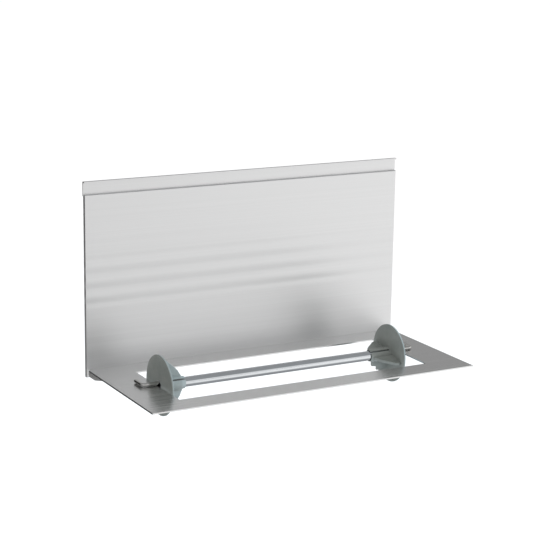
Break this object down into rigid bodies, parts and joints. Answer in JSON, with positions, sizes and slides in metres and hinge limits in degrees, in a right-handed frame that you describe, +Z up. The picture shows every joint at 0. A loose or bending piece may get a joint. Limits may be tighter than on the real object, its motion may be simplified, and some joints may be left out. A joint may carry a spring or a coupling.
{
  "type": "cling film dispenser",
  "caption": "Wall-held brushed steel panel with a cut-out shelf and a loose spindle whose two finned core plugs carry a film roll.",
  "frame": {"origin": "on the header strip's back face, which lies in the wall plane, halfway along the width and 9.5 mm below the top edge", "axes": "+X along the width, to the right when seen from the front; +Y towards the wall; +Z up"},
  "size_m": [0.4116, 0.1844, 0.2513],
  "materials": {
    "panel_steel": "fine horizontal brushing, satin",
    "shelf_steel": "fine horizontal brushing, satin",
    "bar_steel": "bright drawn round bar",
    "tube_steel": "bright drawn thin tube",
    "plug_plastic": "moulded grey plastic, slightly glossy"
  },
  "bodies": {
    "stand": {"back_panel": "panel_steel", "shelf": "shelf_steel"},
    "axle": {"axle_bar": "bar_steel"},
    "spindle": {"spindle_tube": "tube_steel"},
    "plug_left": {"core_plug_left": "plug_plastic"},
    "plug_right": {"core_plug_right": "plug_plastic"}
  },
  "joints": [
    {"name": "axle_lift", "type": "slide", "parent": "stand", "child": "axle", "axis": [0, 0, 1], "range_m": [0, 0.12]},
    {"name": "spindle_spin", "type": "hinge", "parent": "axle", "child": "spindle", "pos_m": [0, -0.0961, -0.20735], "axis": [1, 0, 0], "continuous": true},
    {"name": "plug_left_slide", "type": "slide", "parent": "spindle", "child": "plug_left", "axis": [1, 0, 0], "range_m": [-0.002, 0.11]},
    {"name": "plug_right_slide", "type": "slide", "parent": "spindle", "child": "plug_right", "axis": [-1, 0, 0], "range_m": [-0.012, 0.11]}
  ]
}
